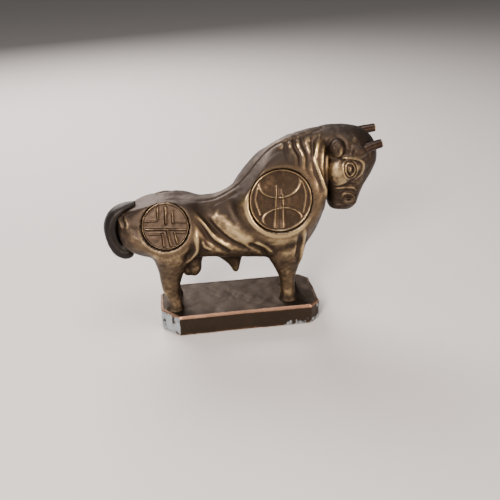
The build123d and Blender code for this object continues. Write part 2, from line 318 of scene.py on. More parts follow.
# Torso from the tail end to the chest, then the legs and the sheath from the bottom up. The rows
# are as torso_shell and upright_shell take them, in millimetres.
TORSO_ROWS = [
    (-28.2, 25.6, 29.2, 0.8, 0.0),
    (-27.8, 23.8, 30.8, 2.7, 0.08),
    (-26.6, 21.9, 32.0, 4.3, 0.14),
    (-24.5, 20.7, 32.7, 5.5, 0.15),
    (-21.0, 19.6, 33.6, 6.4, 0.15),
    (-17.0, 19.0, 34.1, 6.9, 0.16),
    (-13.0, 18.8, 33.8, 6.8, 0.18),
    (-9.0, 18.7, 33.7, 6.4, 0.20),
    (-5.0, 18.4, 33.8, 6.3, 0.22),
    (-1.0, 18.0, 35.8, 6.5, 0.25),
    (2.4, 17.7, 39.5, 6.9, 0.28),
    (5.5, 17.4, 43.1, 7.4, 0.30),
    (9.2, 17.2, 45.8, 7.8, 0.32),
    (13.0, 17.6, 47.4, 7.5, 0.30),
    (16.0, 19.4, 48.2, 6.9, 0.26),
    (18.5, 23.0, 48.6, 6.4, 0.20),
    (20.0, 26.6, 48.7, 5.7, 0.17),
    (21.0, 29.4, 48.0, 4.4, 0.10),
    (21.6, 36.0, 43.0, 2.5, 0.0),
]
FORELEG_ROWS = [
    (5.35, 12.2, 3.5, 2.7, 2.2),
    (5.9, 12.2, 3.5, 2.25, 1.95),
    (6.7, 12.15, 3.5, 2.05, 1.8),
    (7.8, 12.1, 3.5, 1.95, 1.7),
    (9.5, 11.95, 3.5, 1.95, 1.7),
    (12.0, 11.85, 3.6, 2.1, 1.8),
    (14.5, 11.6, 3.8, 2.85, 2.2),
    (17.5, 11.3, 4.0, 4.1, 2.9),
    (21.0, 11.1, 4.1, 5.0, 3.3),
    (25.0, 11.0, 4.0, 4.8, 2.8),
]
HIND_LEG_ROWS = [
    (5.35, -16.3, 3.5, 2.5, 2.2),
    (5.9, -16.3, 3.5, 2.1, 1.9),
    (6.7, -16.2, 3.5, 1.85, 1.7),
    (7.8, -16.2, 3.5, 1.7, 1.6),
    (9.2, -16.5, 3.5, 1.75, 1.6),
    (11.0, -16.9, 3.5, 2.15, 1.7),
    (13.5, -16.9, 3.6, 2.5, 1.9),
    (16.5, -16.5, 3.8, 3.2, 2.5),
    (20.0, -16.2, 4.1, 4.3, 3.2),
    (25.0, -16.5, 4.0, 5.0, 3.2),
]
LEFT_FOREHOOF_AHEAD_MM = 1.2
SHEATH_ROWS = [
    (12.5, -0.55, 0.0, 0.45, 0.4),
    (13.2, -0.6, 0.0, 0.9, 0.8),
    (14.9, -0.9, 0.0, 1.55, 1.2),
    (16.8, -1.6, 0.0, 2.7, 1.9),
    (18.2, -2.0, 0.0, 4.2, 2.6),
    (20.0, -2.2, 0.0, 5.4, 3.2),
]
# Four eggs make up the scrotum: centre and three half axes.
SCROTUM_EGGS = [
    ((-10.9, -0.9, 15.9), (1.9, 1.9, 2.9)),
    ((-12.5, -0.5, 15.5), (1.8, 2.0, 2.5)),
    ((-11.4, 1.1, 15.9), (2.3, 1.9, 3.1)),
    ((-11.5, 0.0, 18.4), (3.0, 3.2, 3.4)),
]
BODY_VOXEL_MM = 0.24
FLANKS = ((-1, "right"), (1, "left"))

shells = [torso_shell(TORSO_ROWS), upright_shell(SHEATH_ROWS)]
shells += [egg(centre, radii) for centre, radii in SCROTUM_EGGS]
foreleg_right, foreleg_left = (upright_shell(FORELEG_ROWS, side) for side in (-1, 1))
foreleg_left[0][:, 0] += LEFT_FOREHOOF_AHEAD_MM
shells += [foreleg_right, foreleg_left, upright_shell(HIND_LEG_ROWS, -1),
           upright_shell(HIND_LEG_ROWS, 1)]
body_points, body_quads = merged_skin(shells, BODY_VOXEL_MM)
body_edges = quad_edges(body_quads)
# The joins are softened, the legs less than the torso, so that they keep their thickness.
above_hooves = step_up(body_points[:, 2], 12.0, 19.0)[:, None]
softened = relax(body_points, body_edges, 40)
body_points = relax(body_points, body_edges, 5) * (1 - above_hooves) + softened * above_hooves

# Medallion seats: centre, outward normal and upward direction on each flank, with the normal
# leaning up and, on the hip, turned towards the tail.
SHOULDER_RADIUS_MM = 7.4
HIP_RADIUS_MM = 5.5
SEAT_DEPTH_MM = 0.9
SHOULDER_CENTRE_MM = (9.35, 7.04, 34.0)
HIP_CENTRE_MM = (-17.2, 5.76, 29.2)
SHOULDER_LEAN = radians(11)
HIP_LEAN = radians(20)
HIP_TURN = radians(8)


def seat_frame(centre, lean, turn_back, side):
    """A seat's centre and its three directions: along the flank, up the flank, and outwards."""
    out = np.array([-sin(turn_back) * cos(lean), side * cos(turn_back) * cos(lean), sin(lean)])
    along = np.array([cos(turn_back), side * sin(turn_back), 0.0])
    rise = np.cross(out, along) * -side
    return np.asarray(centre, float) * (1, side, 1), along, rise, out


seats = {}
for side, flank in FLANKS:
    seats["shoulder_" + flank] = (*seat_frame(SHOULDER_CENTRE_MM, SHOULDER_LEAN, 0.0, side),
                                  SHOULDER_RADIUS_MM)
    seats["hip_" + flank] = (*seat_frame(HIP_CENTRE_MM, HIP_LEAN, HIP_TURN, side),
                             HIP_RADIUS_MM)

# Relief on the flanks, alike on both: folds, furrows and muscles as lines in side view, each
# with its half width and its height in millimetres.
FLANK_LINES = [
    ([(-10.6, 31.8), (-8.2, 28.9), (-6.1, 25.9), (-2.2, 22.4)], 0.45, 0.45),
    ([(-11.2, 31.2), (-8.9, 28.2), (-6.9, 25.0), (-3.0, 21.6)], 0.6, -0.45),
    ([(-6.5, 32.3), (-3.6, 29.8), (-0.2, 26.5), (3.0, 24.0)], 1.9, 0.75),
    ([(-8.4, 31.0), (-5.2, 27.2), (-1.8, 24.2), (1.8, 22.2)], 0.6, -0.5),
    ([(-9.0, 25.2), (-8.4, 23.6), (-6.8, 22.4)], 0.35, 0.3),
    ([(-10.7, 28.4), (-10.2, 25.3), (-10.3, 22.7), (-11.6, 20.7), (-13.1, 19.0)], 0.55, 0.6),
    ([(-11.9, 28.6), (-11.5, 25.2), (-11.7, 22.6), (-13.0, 20.6)], 0.7, -0.55),
    ([(-25.9, 27.1), (-23.2, 26.1), (-20.8, 23.6), (-19.4, 21.0)], 1.0, 0.35),
    ([(-25.4, 28.9), (-23.6, 28.4), (-22.4, 26.6), (-21.8, 25.0)], 0.5, -0.4),
    ([(-27.9, 31.2), (-27.3, 30.2), (-26.7, 28.4)], 0.4, 0.5),
    ([(-26.1, 31.3), (-25.6, 29.8), (-25.8, 28.4)], 0.45, 0.35),
    ([(-22.6, 33.4), (-20.6, 34.9), (-17.7, 35.0), (-15.0, 34.0), (-12.9, 32.0), (-11.4, 29.4)],
     0.55, 0.3),
    ([(14.7, 27.4), (15.1, 23.6), (14.7, 19.6), (14.1, 16.0)], 0.4, 0.45),
    ([(13.6, 26.4), (13.9, 22.6), (13.4, 18.6)], 0.5, -0.4),
    ([(3.2, 24.4), (5.8, 22.8), (7.4, 20.6)], 0.5, 0.35),
    ([(1.6, 24.0), (4.6, 21.8), (6.4, 19.4)], 0.6, -0.4),
]
# The mane's locks and the furrows between them, and the collar where the neck meets the head.
MANE_LINES = [
    ([(10.6, 46.0), (9.9, 44.1), (10.3, 42.0)], 0.5, 0.12),
    ([(12.8, 47.6), (12.1, 45.8), (13.1, 43.6), (12.7, 41.4)], 0.5, 0.14),
    ([(14.5, 48.0), (13.9, 46.0), (15.0, 43.4), (14.4, 40.7), (15.8, 38.2)], 0.5, 0.14),
    ([(11.5, 46.6), (11.0, 44.6), (11.6, 42.4)], 0.45, -0.36),
    ([(13.5, 47.4), (13.0, 45.6), (14.0, 43.4), (13.6, 41.2)], 0.4, -0.38),
    ([(15.6, 47.8), (15.2, 46.0), (16.1, 43.4), (15.7, 40.6), (16.8, 38.0)], 0.5, -0.16),
    ([(19.4, 48.4), (18.5, 46.2), (17.5, 43.7), (17.4, 42.4), (18.3, 39.5), (19.2, 37.3),
      (20.0, 35.0), (20.1, 30.0)], 0.5, 0.5),
    ([(20.5, 44.6), (20.3, 41.0), (20.5, 38.0), (21.2, 34.8)], 0.6, -0.7),
    ([(15.2, 47.8), (14.8, 46.0), (15.7, 43.4), (15.3, 40.6), (16.6, 38.0)], 0.4, -0.22),
    ([(17.2, 47.8), (17.0, 45.4), (17.2, 42.6), (17.4, 40.0), (18.4, 37.4), (18.5, 34.6)], 0.5, -0.4),
]
# Shallow wavering grooves along the top of the back, each at this distance from the middle.
BACK_LINES_Y_MM = (1.6, 3.0)
BACK_GROOVE_DEPTH_MM = 0.18

body_normals = point_normals(body_points, body_quads)
side_view = body_points[:, [0, 2]]
flank_share = step_up(np.abs(body_normals[:, 1]), 0.15, 0.55)
relief = np.zeros(len(body_points))
for line, width, height in FLANK_LINES + MANE_LINES:
    relief += ridge(side_view, line, width, height) * flank_share
top_share = step_up(body_normals[:, 2], 0.35, 0.8)
for offset in BACK_LINES_Y_MM:
    sway = offset + 0.35 * np.sin(body_points[:, 0] * 0.55)
    groove = np.exp(-((np.abs(body_points[:, 1]) - sway) / 0.3) ** 2)
    relief -= BACK_GROOVE_DEPTH_MM * groove * top_share
legs = step_up(body_points[:, 2], 7.0, 10.0) * (1 - step_up(body_points[:, 2], 17.0, 21.0))
relief += lump_noise(body_points, 1.7, 3.0) * 0.06 + lump_noise(body_points, 0.8, 5.0) * 0.035
body_points = body_points + body_normals * relief[:, None]

# Each seat is pressed flat under its disc. The skin round it is drawn up to the seat's plane as a
# soft lip, with a bead along its lower edge. The lower lip is made bright, wear with a painted
# highlight, and the skin round the upper side of the rim darker, painted shade.
SEAT_CLEARANCE_MM = 0.15
LIP_REACH_MM = 5.2
LIP_HEIGHT_MM = 0.12
BEAD_OFFSET_MM = 0.7
BEAD_HALF_WIDTH_MM = 0.5
HIP_LIP_SHARE = 0.35
lip_wear_and_highlight = np.zeros(len(body_points))
rim_painted_shade = np.zeros(len(body_points))
for centre, along, rise, out, radius in seats.values():
    local = body_points - centre
    height = local @ out
    across = np.hypot(local @ along, local @ rise)
    past_rim = across - radius
    near = (height > -4.5) & (height < 3.0) & (past_rim < 5.5)
    facing = step_up(body_normals @ out, 0.45, 0.85) * step_up(height, -4.5, -2.5)
    lip = step_up(-across, -radius - LIP_REACH_MM, -radius - 0.3) ** 1.5 * facing
    raised = np.maximum(height, LIP_HEIGHT_MM * lip + height * (1 - lip))
    lip_share = 1.0 if radius == SHOULDER_RADIUS_MM else HIP_LIP_SHARE
    below = step_up(-(local @ rise) - 0.4 * (local @ along), -1.0, radius)
    bead = np.exp(-((past_rim - BEAD_OFFSET_MM) / BEAD_HALF_WIDTH_MM) ** 2)
    bead = bead * (0.03 + 0.25 * below * lip_share)
    wanted = np.where(past_rim < 0.05, -SEAT_DEPTH_MM - SEAT_CLEARANCE_MM, raised + bead)
    body_points += out * np.where(near, wanted - height, 0)[:, None]
    # Painted highlight, with wear, on the lower lip, and painted shade round the rest of the rim.
    lip_highlight = np.exp(-((past_rim - 0.55) / 0.45) ** 2) * (0.15 + 0.85 * below) * lip_share
    lip_wear_and_highlight = np.maximum(lip_wear_and_highlight, np.where(near, lip_highlight, 0))
    upper_rim_shade = np.exp(-((past_rim - 0.6) / 1.1) ** 2) * (1 - below * lip_share)
    rim_painted_shade = np.maximum(rim_painted_shade, np.where(near, upper_rim_shade, 0))


# How far a small and a large ridge stand out when they are fully rubbed.
FINE_RIDGE_MM = 0.05
BROAD_RIDGE_MM = 0.28


def rubbing(points, quads, edges, fine=6, broad=60):
    """How far each place stands proud of its surroundings, from about -1 in a hollow to 1 on a
    ridge: its distance from the relaxed surface, near and far, along the normal."""
    normals = point_normals(points, quads)
    near = ((points - relax(points, edges, fine)) * normals).sum(1)
    far = ((points - relax(points, edges, broad)) * normals).sum(1)
    score = near / FINE_RIDGE_MM + far / BROAD_RIDGE_MM
    return np.tanh(relax(score, edges, 2)), normals


def mesh_piece(name, points, faces, attributes=None):
    """A smooth-shaded object from points in millimetres, with named numbers at its points."""
    mesh = bpy.data.meshes.new(name)
    mesh.from_pydata((np.asarray(points) * MM).tolist(), [], np.asarray(faces).tolist()
                     if isinstance(faces, np.ndarray) else faces)
    for label, values in (attributes or {}).items():
        mesh.attributes.new(label, "FLOAT", "POINT").data.foreach_set("value", values)
    mesh.polygons.foreach_set("use_smooth", np.ones(len(mesh.polygons), bool))
    mesh.update()
    piece = bpy.data.objects.new(name, mesh)
    bpy.context.collection.objects.link(piece)
    return piece


# Bright places in side view: x, z, reach and amount. Some are wear from handling, and some, such as
# the belly bulge and the front of the foreleg, are painted highlights.
RUBBED_GOLD_AND_HIGHLIGHTS = [
    (10.4, 45.4, 1.6, 0.4), (16.9, 45.3, 1.5, 0.5), (16.9, 41.5, 1.4, 0.5), (18.2, 37.0, 1.3, 0.5),
    (-5.3, 25.3, 2.6, 0.4), (-0.9, 27.0, 2.4, 0.6), (2.6, 25.0, 1.8, 0.4), (9.2, 24.4, 2.8, 0.4),
    (10.4, 20.4, 2.2, 0.3), (11.2, 14.5, 2.4, 0.3), (11.8, 8.6, 1.2, 0.4), (-16.4, 14.3, 2.2, 0.2),
    (-15.6, 19.7, 2.6, 0.2), (-23.4, 25.2, 1.8, 0.5), (-26.6, 31.2, 1.2, 0.8), (1.1, 34.9, 1.6, 0.5),
    (-10.5, 26.5, 1.6, 0.5), (15.2, 24.4, 1.6, 0.4),
]


def wear_and_highlight_patches(points, patches):
    """Soft round patches in side view, each falling off as a bell over its reach."""
    amount = np.zeros(len(points))
    for x, z, reach, strength in patches:
        gap = np.hypot(points[:, 0] - x, points[:, 2] - z)
        amount += strength * np.exp(-((gap / reach) ** 2))
    return amount


# The rub number is lowered round the upper side of each seat, on the rump and on faces turned
# towards the head, painted shade, and on the legs. It is raised on each seat's lower lip and on the
# bright patches, wear with painted highlight. The tone number rises on upward faces, toning left
# unrubbed with painted shade, and is near 1 low on the hooves.
body_wear_and_light, body_normals = rubbing(body_points, body_quads, body_edges)
# Upward faces get more tone: toning left unrubbed, with painted shade.
body_tone_and_shade = step_up(body_normals[:, 2], 0.25, 0.85)
body_tone_and_shade = np.maximum(body_tone_and_shade, 0.9 - 0.9 * step_up(body_points[:, 2], 5.8, 8.0))
body_wear_and_light = body_wear_and_light * (1 - 0.6 * rim_painted_shade) - 0.35 * rim_painted_shade + 0.6 * lip_wear_and_highlight
# Bright patches, wear with painted highlight, and a darker rump, painted shade.
body_wear_and_light += wear_and_highlight_patches(body_points, RUBBED_GOLD_AND_HIGHLIGHTS) - 0.5 * step_up(-body_points[:, 0], 20.0, 24.0)
# Faces turned towards the head are made darker: painted shade.
body_wear_and_light -= 0.4 * step_up(body_normals[:, 0], 0.3, 0.9) + 0.3 * legs
body_wear_and_light = body_wear_and_light.clip(-1.4, 1.3)
bull_body = mesh_piece("bull_body", body_points, body_quads,
                       {"wear_and_light": body_wear_and_light, "tone_and_shade": body_tone_and_shade})


BLOTCH_MM = 2.6
SPECK_WEIGHT = 0.7
GRAIN_DEPTH_MM = 0.06


def metal_material(name, dark, middle, bright, rub_low, rub_high, rough_dark, rough_bright,
                   tone_weight, grain_mm=0.4, bump=0.45, blotching=1.1):
    """Plate over zinc, toned dark and rubbed back. The rub number of each point, which carries wear
    together with painted highlight and painted shade, broken up by noise, runs from the dark patina
    through the worn middle to bright metal. The grain of such a casting is about 0.1 mm, and is drawn
    coarser so that it shows."""
    material = bpy.data.materials.new(name)
    material.use_nodes = True
    tree = material.node_tree
    shader = tree.nodes["Principled BSDF"]
    place = add_node(tree, "ShaderNodeTexCoord").outputs["Object"]
    wear_and_light = add_node(tree, "ShaderNodeAttribute", attribute_name="wear_and_light").outputs["Fac"]
    tone_and_shade = add_node(tree, "ShaderNodeAttribute", attribute_name="tone_and_shade").outputs["Fac"]
    blotch = add_node(tree, "ShaderNodeTexNoise", {"Vector": place}, Scale=1 / (BLOTCH_MM * MM),
                      Detail=4.0, Roughness=0.6).outputs["Fac"]
    speck = add_node(tree, "ShaderNodeTexNoise", {"Vector": place}, Scale=1 / (grain_mm * MM),
                     Detail=3.0, Roughness=0.65).outputs["Fac"]
    toned_and_shaded = add_node(tree, "ShaderNodeMath", {0: tone_and_shade}, operation="MULTIPLY")
    toned_and_shaded.inputs[1].default_value = tone_weight
    wear_and_light_value = add_node(tree, "ShaderNodeMath", {0: wear_and_light, 1: toned_and_shaded.outputs[0]}, operation="SUBTRACT")
    blotched = add_node(tree, "ShaderNodeMath", {0: blotch, 2: wear_and_light_value.outputs[0]},
                        operation="MULTIPLY_ADD")
    blotched.inputs[1].default_value = blotching
    specked = add_node(tree, "ShaderNodeMath", {0: speck, 2: blotched.outputs[0]},
                       operation="MULTIPLY_ADD")
    specked.inputs[1].default_value = SPECK_WEIGHT
    share = add_node(tree, "ShaderNodeMapRange", {"Value": specked.outputs[0]},
                     interpolation_type="SMOOTHSTEP")
    share.inputs["From Min"].default_value = rub_low
    share.inputs["From Max"].default_value = rub_high
    ramp = add_node(tree, "ShaderNodeValToRGB", {"Fac": share.outputs[0]})
    ramp.color_ramp.elements[0].color = linear(dark)
    ramp.color_ramp.elements[1].color = linear(bright)
    ramp.color_ramp.elements.new(0.5).color = linear(middle)
    tree.links.new(ramp.outputs["Color"], shader.inputs["Base Color"])
    rough = add_node(tree, "ShaderNodeMapRange", {"Value": share.outputs[0]})
    rough.inputs["To Min"].default_value = rough_dark
    rough.inputs["To Max"].default_value = rough_bright
    tree.links.new(rough.outputs[0], shader.inputs["Roughness"])
    shader.inputs["Metallic"].default_value = 1.0
    grain = add_node(tree, "ShaderNodeBump", {"Height": speck}, Strength=bump,
                     Distance=GRAIN_DEPTH_MM * MM)
    tree.links.new(grain.outputs[0], shader.inputs["Normal"])
    return material


# Antique brass: satin gold on the ridges and brown-black in the folds.
antique_brass = metal_material("antique_brass_plate", "#382f29", "#665644", "#b9a27a",
                               0.45, 2.1, 0.56, 0.28, 1.0, blotching=0.9)
bull_body.data.materials.append(antique_brass)
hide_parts("body")
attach(bull_body, "root")

# ---------------------------------------------------------------- Head
# The head is its own casting, doweled to the neck, with ears, brow lumps and the horns' bosses
# modelled on it. The same plate and toning as the body.
HEAD_ROWS = [
    (28.0, 26.2, 0.0, 1.8, 1.2),
    (28.5, 25.9, 0.0, 3.0, 2.0),
    (30.2, 25.9, 0.0, 3.8, 2.9),
    (32.5, 26.1, 0.0, 4.2, 3.3),
    (34.8, 26.3, 0.0, 5.0, 3.5),
    (37.2, 26.6, 0.0, 5.8, 4.3),
    (40.2, 27.0, 0.0, 6.4, 5.4),
    (43.0, 26.6, 0.0, 6.6, 6.0),
    (45.3, 25.4, 0.0, 6.9, 5.8),
    (47.0, 24.3, 0.0, 6.4, 4.8),
    (48.2, 23.6, 0.0, 5.0, 3.2),
    (48.7, 23.4, 0.0, 2.6, 1.4),
]
HEAD_VOXEL_MM = 0.15
# Cheek, ear, horn boss, brow lump and the side of the muzzle: centre on the left, half axes.
HEAD_EGGS = [
    ((23.9, 3.6, 39.2), (3.0, 2.1, 3.9)),
    ((22.4, 5.1, 44.9), (1.75, 1.6, 2.1)),
    ((27.2, 4.9, 43.9), (2.3, 1.9, 1.8)),
    ((26.5, 3.6, 46.4), (1.4, 1.2, 1.0)),
    ((27.0, 2.6, 31.2), (1.9, 1.2, 1.9)),
]
head_shells = [upright_shell(HEAD_ROWS)]
for side, _ in FLANKS:
    head_shells += [egg((x, side * y, z), radii) for (x, y, z), radii in HEAD_EGGS]
head_points, head_quads = merged_skin(head_shells, HEAD_VOXEL_MM)
head_edges = quad_edges(head_quads)
head_points = relax(head_points, head_edges, 22)

# Face lines in side view: brow, muzzle, nostril, mouth, ear and the dip behind the forehead.
FACE_LINES = [
    ([(21.9, 42.8), (23.9, 42.9), (25.7, 42.8), (27.3, 42.4), (28.6, 41.3), (28.9, 39.9),
      (28.5, 38.3), (27.5, 37.0)], 0.36, 0.32),
    ([(22.9, 34.2), (25.3, 34.7), (27.4, 34.4), (28.5, 33.2)], 0.26, 0.17),
    ([(23.4, 35.4), (25.6, 35.8), (27.8, 35.4)], 0.35, -0.12),
    ([(24.7, 31.7), (25.2, 32.8), (26.3, 33.1), (27.5, 32.6), (28.2, 31.2)], 0.25, 0.2),
    ([(24.2, 32.2), (24.9, 33.4), (26.3, 33.8), (27.8, 33.3)], 0.25, -0.12),
    ([(27.6, 29.5), (26.2, 29.8), (24.6, 30.2), (23.4, 30.1)], 0.3, -0.4),
    ([(25.0, 43.6), (25.4, 44.8), (25.3, 46.2)], 0.5, -0.3),
    ([(21.7, 46.6), (22.0, 45.2), (22.6, 43.9)], 0.45, -0.35),
    ([(29.6, 45.6), (30.0, 43.4), (30.4, 40.6), (29.8, 37.6)], 0.5, -0.2),
]
EAR_MM = (22.4, 45.0)
EAR_HALF_AXES_MM = (1.75, 2.1)
EYE_MM = (25.7, 39.8)
# The eye, from its ball outwards: distance in shares of its height, half width, and rise.
EYE_RINGS = [(1.15, 0.3, -0.26), (1.65, 0.22, 0.2), (2.1, 0.22, -0.14), (2.5, 0.22, 0.12)]
NOSTRIL_MM = (26.6, 31.8)

head_normals = point_normals(head_points, head_quads)
profile = head_points[:, [0, 2]]
cheek_share = step_up(np.abs(head_normals[:, 1]), 0.15, 0.5)
face = np.zeros(len(head_points))
for line, width, height in FACE_LINES:
    face += ridge(profile, line, width, height) * cheek_share
ear = np.hypot(*((profile - EAR_MM) / EAR_HALF_AXES_MM).T)
face -= 0.3 * np.exp(-((ear - 1.15) / 0.2) ** 2) * cheek_share
eye_rise = profile[:, 1] - EYE_MM[1]
eye = np.hypot((profile[:, 0] - EYE_MM[0] + 0.2 * eye_rise) / 0.68, eye_rise)
eye_relief = 0.3 * np.exp(-(eye / 0.6) ** 2)
for distance, half_width, rise in EYE_RINGS:
    eye_relief += rise * np.exp(-((eye - distance) / half_width) ** 2)
face += cheek_share * eye_relief
nostril = np.hypot(profile[:, 0] - NOSTRIL_MM[0], (profile[:, 1] - NOSTRIL_MM[1]) / 0.6)
face -= cheek_share * 0.75 * np.exp(-(nostril / 0.8) ** 2)
face += lump_noise(head_points, 1.0, 8.0) * 0.06 + lump_noise(head_points, 0.5, 9.0) * 0.03
head_points = head_points + head_normals * face[:, None]
head_wear_and_highlight, head_normals = rubbing(head_points, head_quads, head_edges, 8, 90)
# Bright places, as in the body's list: wear with painted highlight on the cheek, the jaw and beside
# the eye, and painted highlights on the brow lump and the ear.
CHEEK_GOLD_AND_HIGHLIGHTS = [(22.6, 39.8, 1.9, 0.6), (24.0, 37.2, 1.4, 0.4), (28.0, 40.2, 0.9, 0.5),
              (26.4, 46.6, 0.7, 1.2), (23.0, 44.4, 0.8, 1.2)]
head_wear_and_highlight = 0.8 * head_wear_and_highlight + wear_and_highlight_patches(head_points, CHEEK_GOLD_AND_HIGHLIGHTS)
# The tone number rises on upward faces and over the crown, toning left unrubbed with painted
# shade, and is raised low on the muzzle and at the front of the face.
head_tone_and_shade = step_up(head_normals[:, 2], 0.2, 0.8)
head_tone_and_shade = np.maximum(head_tone_and_shade, step_up(head_points[:, 2], 42.9, 44.2))
head_tone_and_shade = np.maximum(head_tone_and_shade, 0.6 * step_up(-head_points[:, 2], -35.0, -32.0))
head_tone_and_shade = np.maximum(head_tone_and_shade, 0.8 * step_up(head_points[:, 0], 28.8, 30.6))
bull_head = mesh_piece("bull_head", head_points, head_quads,
                       {"wear_and_light": head_wear_and_highlight, "tone_and_shade": head_tone_and_shade})
bull_head.data.materials.append(antique_brass)
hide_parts("head")
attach(bull_head, "root")

# ---------------------------------------------------------------- Horns
# Two drawn pegs with square-cut tips, pressed into the head. The left one is longer.
HORN_BASE_RADIUS_MM = 1.25
HORN_TIP_RADIUS_MM = 0.98
HORN_ROOT_MM = {"right": (27.0, -5.0, 43.5), "left": (27.0, 5.0, 44.6)}
HORN_TIP_DROP_MM = {"right": 1.0, "left": 0.75}
HORN_TIP_SIDE_MM = 4.9
HORN_AROUND = 40


def swept_rings(path, radii, around):
    """Round rings along a path, each square to it: the frame is carried by projecting the last
    sideways direction off each new heading."""
    heading = np.gradient(path, axis=0)
    heading /= np.linalg.norm(heading, axis=1, keepdims=True)
    sideways = np.cross(heading[0], (0.0, 0.0, 1.0))
    if np.linalg.norm(sideways) < 0.1:
        sideways = np.array([0.0, 1.0, 0.0])
    rings = []
    angle = np.linspace(0, 2 * pi, around, endpoint=False)[:, None]
    for at, ahead, radius in zip(path, heading, radii):
        sideways = sideways - ahead * (sideways @ ahead)
        sideways /= np.linalg.norm(sideways)
        other = np.cross(ahead, sideways)
        rings.append(at + np.cos(angle) * sideways * radius[0] + np.sin(angle) * other * radius[1])
    return np.array(rings)


# Copper-brown toning with a dull sheen, worn a little lighter at the cut tips.
horn_copper = metal_material("horn_copper_brown", "#241c18", "#3b302a", "#8c735f",
                             0.7, 1.9, 0.45, 0.32, 0.6, grain_mm=0.3)
for side, flank in FLANKS:
    high = np.array(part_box("horn_" + flank)[1]) / MM
    root = np.array(HORN_ROOT_MM[flank])
    tip = np.array([high[0] - 0.25, side * HORN_TIP_SIDE_MM, high[2] - HORN_TIP_DROP_MM[flank]])
    share = np.concatenate([np.linspace(0, 0.985, 40), [0.993, 0.998, 1.0, 1.0]])
    bow = np.array([0, 0, 0.25]) * np.sin(pi * share)[:, None]
    path = root + (tip - root) * share[:, None] + bow
    radius = HORN_BASE_RADIUS_MM + (HORN_TIP_RADIUS_MM - HORN_BASE_RADIUS_MM) * share
    radius[-3:] *= (0.97, 0.9, 0.55)
    path[-1] = path[-2] + (tip - root) * 1e-4
    rings = swept_rings(path, np.stack([radius, radius], 1), HORN_AROUND)
    points, faces = closed_tube(rings)
    points = points + lump_noise(points, 0.8, 12.0)[:, None] * 0.04
    wear_and_light = np.concatenate([np.repeat(0.3 + 0.5 * (share > 0.97), HORN_AROUND), [0.0, 0.6]])
    horn = mesh_piece("bull_horn_" + flank, points, faces,
                      {"wear_and_light": wear_and_light, "tone_and_shade": np.zeros(len(points))})
    horn.data.materials.append(horn_copper)
    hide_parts("horn_" + flank)
    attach(horn, "root")

# ---------------------------------------------------------------- Tail
# A band cast on its own and soldered down the rump, ending in a tuft curled under it. Its patina
# is almost black and hardly rubbed, and its hair is shallow locks that twist round it.
TAIL_PATH_MM = [(-23.6, 0, 33.0), (-26.6, 0, 32.0), (-28.6, 0, 30.2), (-29.5, 0, 27.6),
                (-29.4, 0, 25.0), (-28.8, 0, 23.0), (-27.6, 0, 21.7), (-26.2, 0, 21.3),
                (-25.2, 0, 21.4)]
TAIL_RADII_MM = [(0.8, 0.6), (1.9, 1.1), (2.4, 1.6), (2.5, 1.85), (2.4, 1.8), (2.4, 1.9),
                 (2.7, 2.3), (2.6, 2.1), (1.5, 1.2)]
TAIL_RINGS = 120
TAIL_AROUND = 96
TAIL_LOCKS = 9
path = smooth_rows(TAIL_PATH_MM, TAIL_RINGS)
radii = smooth_rows(TAIL_RADII_MM, TAIL_RINGS)
points, faces = closed_tube(swept_rings(path, radii, TAIL_AROUND))
strand = np.tile(np.linspace(0, 2 * pi, TAIL_AROUND, endpoint=False), TAIL_RINGS)
length_share = np.repeat(np.linspace(0, 1, TAIL_RINGS), TAIL_AROUND)
wave = np.sin(strand * TAIL_LOCKS + length_share * 7) * step_up(length_share, 0.1, 0.6)
centre_line = np.repeat(path, TAIL_AROUND, 0)
outward = points[:-2] - centre_line
outward /= np.linalg.norm(outward, axis=1, keepdims=True)
points[:-2] += outward * (0.13 * wave + 0.05 * lump_noise(points[:-2], 0.9, 21.0))[:, None]
tail_rub = np.concatenate([0.5 * wave - 0.2, [0.0, 0.0]])
tail = mesh_piece("bull_tail", points, faces, {"wear_and_light": tail_rub, "tone_and_shade": np.ones(len(points))})
# Dark patina: grey-black with a low, broad sheen.
dark_patina = metal_material("dark_patina", "#2d2a29", "#423c38", "#7d6f5c",
                             0.3, 2.4, 0.55, 0.4, 0.5)
tail.data.materials.append(dark_patina)
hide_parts("tail")
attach(tail, "root")

# ---------------------------------------------------------------- Medallions
# Four plated discs soldered into the seats. Each has a thin raised rim; the shoulder pair carries
# a double-headed axe between two dished ovals, and the hip pair a cross with squared corners.
DISC_RINGS = 84
DISC_AROUND = 240
DISC_CLEARANCE_MM = 0.1
DISC_FIELD_MM = 0.55
DISC_SIDE_MM = 0.75
DISC_UNDER_MM = 1.05
RIM_HEIGHT_MM = 0.24


def bead_line(u, v, line, width, height):
    """A thin raised line through a few points of the disc, in shares of its radius."""
    gap, _ = line_gap(np.stack([u, v], -1), line, 14)
    return height * np.exp(-(gap / width) ** 2)


def axe_relief(u, v):
    """Heights in millimetres: dished ovals above and below, an upright shaft and two blades."""
    upper = np.hypot((u + 0.03) / 0.66, (v - 0.56) / 0.46)
    lower = np.hypot((u - 0.03) / 0.62, (v + 0.60) / 0.37)
    height = -0.28 * (1 - step_up(upper, 0.0, 1.0)) - 0.22 * (1 - step_up(lower, 0.0, 1.0))
    for oval in (upper, lower):
        height += 0.22 * np.exp(-((oval - 1.0) / 0.05) ** 2)
    height += bead_line(u, v, [(-0.13, 0.47), (-0.16, 0.0), (-0.22, -0.86)], 0.028, 0.26)
    height += bead_line(u, v, [(0.06, 0.18), (0.07, -0.3), (0.06, -0.86)], 0.03, 0.26)
    height += bead_line(u, v, [(-0.02, 0.36), (-0.07, -0.84)], 0.05, -0.16)
    height += bead_line(u, v, [(-0.72, 0.42), (-0.80, 0.05), (-0.68, -0.40)], 0.03, 0.2)
    height += bead_line(u, v, [(0.68, 0.60), (0.80, 0.12), (0.72, -0.42)], 0.03, 0.2)
    return height


